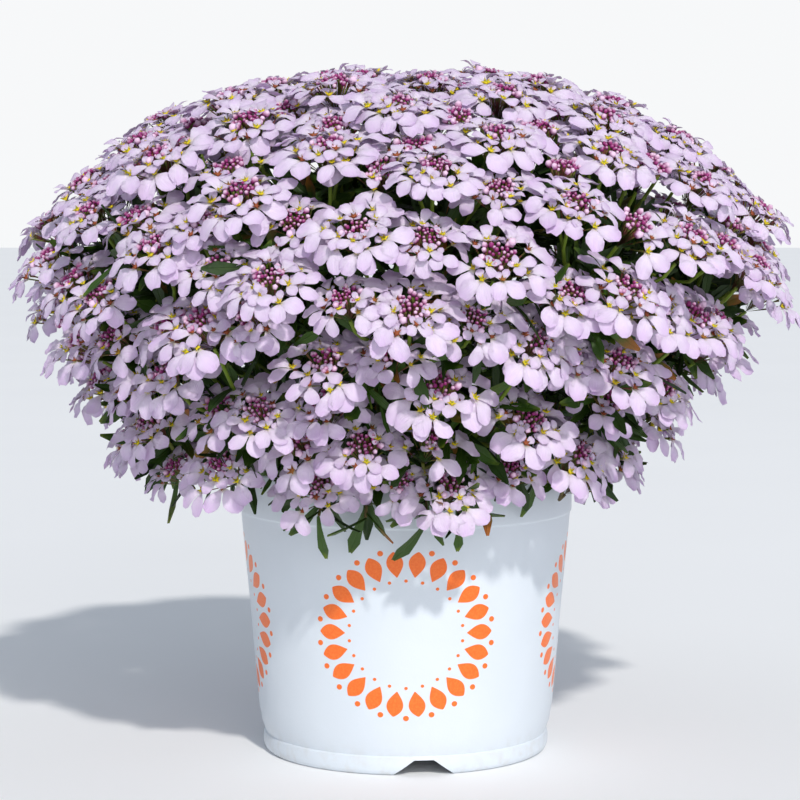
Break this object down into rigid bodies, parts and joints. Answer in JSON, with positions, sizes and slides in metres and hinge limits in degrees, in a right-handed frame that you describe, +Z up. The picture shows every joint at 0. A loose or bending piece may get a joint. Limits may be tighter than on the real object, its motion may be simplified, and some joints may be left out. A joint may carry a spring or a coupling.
{
  "type": "potted evergreen candytuft",
  "caption": "Rounded mound of flat lilac flower heads over narrow dark green leaves, in a squat white plastic nursery pot with a notched foot",
  "frame": {"origin": "middle of the pot's foot, on the surface that the pot stands on", "axes": "+Z up, -Y towards the front of the picture, +X to the right of the front"},
  "size_m": [0.4033, 0.4008, 0.3569],
  "materials": {
    "pot_plastic": "smooth moulded plastic, soft gloss, printed rings in orange",
    "potting_mix": "loose bark and peat mix, matt",
    "foliage": "waxy leaf, soft gloss",
    "petals": "thin matt petals, lilac, with pink buds in the middle"
  },
  "bodies": {
    "root": {"pot": "pot_plastic", "potting_mix": "potting_mix", "leafy_stem_01": "foliage", "leafy_stem_02": "foliage", "leafy_stem_03": "foliage", "leafy_stem_04": "foliage", "leafy_stem_05": "foliage", "leafy_stem_06": "foliage", "leafy_stem_07": "foliage", "leafy_stem_08": "foliage", "leafy_stem_09": "foliage", "leafy_stem_10": "foliage", "leafy_stem_11": "foliage", "leafy_stem_12": "foliage", "leafy_stem_13": "foliage", "leafy_stem_14": "foliage", "leafy_stem_15": "foliage", "leafy_stem_16": "foliage", "leafy_stem_17": "foliage", "leafy_stem_18": "foliage", "leafy_stem_19": "foliage", "leafy_stem_20": "foliage", "leafy_stem_21": "foliage", "leafy_stem_22": "foliage", "leafy_stem_23": "foliage", "leafy_stem_24": "foliage", "leafy_stem_25": "foliage", "leafy_stem_26": "foliage", "leafy_stem_27": "foliage", "leafy_stem_28": "foliage", "flower_spray_01": "petals", "flower_spray_02": "petals", "flower_spray_03": "petals", "flower_spray_04": "petals", "flower_spray_05": "petals", "flower_spray_06": "petals", "flower_spray_07": "petals", "flower_spray_08": "petals", "flower_spray_09": "petals", "flower_spray_10": "petals", "flower_spray_11": "petals", "flower_spray_12": "petals", "flower_spray_13": "petals", "flower_spray_14": "petals", "flower_spray_15": "petals", "flower_spray_16": "petals", "flower_spray_17": "petals", "flower_spray_18": "petals", "flower_spray_19": "petals", "flower_spray_20": "petals", "flower_spray_21": "petals", "flower_spray_22": "petals", "flower_spray_23": "petals", "flower_spray_24": "petals", "flower_spray_25": "petals", "flower_spray_26": "petals", "flower_spray_27": "petals", "flower_spray_28": "petals"}
  },
  "joints": []
}
